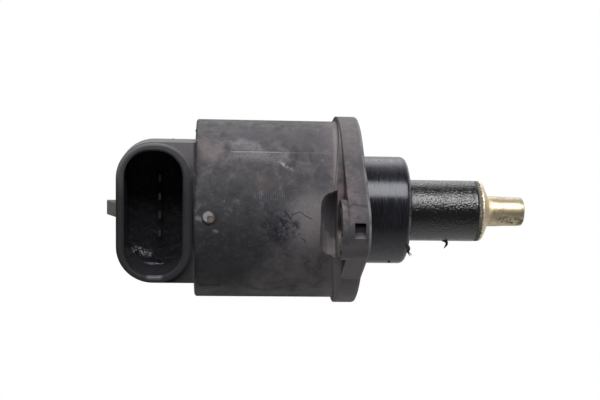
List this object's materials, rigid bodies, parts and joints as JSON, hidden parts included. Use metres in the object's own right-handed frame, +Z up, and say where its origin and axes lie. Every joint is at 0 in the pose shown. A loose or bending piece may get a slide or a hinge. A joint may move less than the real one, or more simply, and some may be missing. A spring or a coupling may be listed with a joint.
{
  "type": "idle air control valve",
  "caption": "Stepper-driven idle air valve: round motor drum with a two-eared flange and side socket, rubber-sealed nose, long guide sleeve and a plated pintle tip that slides out as the rotor turns.",
  "frame": {"origin": "centre of the flange's mounting face, on the valve axis", "axes": "+X along the valve axis towards the pintle tip, -Y the way the socket opens, +Z up"},
  "size_m": [0.1025, 0.0694, 0.0463],
  "materials": {
    "moulding": "matte",
    "front_moulding": "matte",
    "seal_rubber": "glossy",
    "black_sleeve": "glossy",
    "plated_bush": "satin",
    "yellow_zinc": "satin",
    "bright_steel": "satin",
    "stator_steel": "satin",
    "terminal_tin": "satin",
    "board": "satin",
    "copper": "satin",
    "bronze": "matte",
    "brass": "satin",
    "natural_nylon": "satin",
    "magnet": "matte"
  },
  "bodies": {
    "valve_body": {"housing": "moulding", "bolt_bush_near": "plated_bush", "bolt_bush_far": "plated_bush", "terminal_1": "terminal_tin", "terminal_2": "terminal_tin", "terminal_3": "terminal_tin", "terminal_4": "terminal_tin", "terminal_board": "board", "coil_leads": "copper", "nose_carrier": "front_moulding", "carrier_o_ring": "seal_rubber", "nose_seal": "seal_rubber", "guide_sleeve": "black_sleeve", "sleeve_bush": "bronze", "wiper_ring": "seal_rubber", "anti_turn_plate": "bright_steel", "rear_outer_race": "bright_steel", "rear_balls": "bright_steel", "preload_washer": "bright_steel", "front_outer_race": "bright_steel", "front_balls": "bright_steel", "rear_stator_cup": "stator_steel", "rear_claw_plate": "stator_steel", "rear_bobbin": "natural_nylon", "rear_winding": "copper", "front_stator_cup": "stator_steel", "front_claw_plate": "stator_steel", "front_bobbin": "natural_nylon", "front_winding": "copper"},
    "rotor": {"rotor_hub": "natural_nylon", "lead_nut": "brass", "ring_magnet": "magnet", "rear_inner_race": "bright_steel", "front_inner_race": "bright_steel"},
    "pintle": {"lead_screw": "bright_steel", "stop_clip": "bright_steel", "pintle_tip": "yellow_zinc"}
  },
  "joints": [
    {"name": "rotor_spin", "type": "hinge", "parent": "valve_body", "child": "rotor", "pos_m": [0, 0, 0], "axis": [1, 0, 0], "range_deg": [0, 2881]},
    {"name": "pintle_slide", "type": "slide", "parent": "valve_body", "child": "pintle", "axis": [1, 0, 0], "range_m": [0, 0.008]}
  ],
  "couplings": [
    {"joint": "rotor_spin", "follows": "pintle_slide", "rad_per_m": 6283.2}
  ]
}
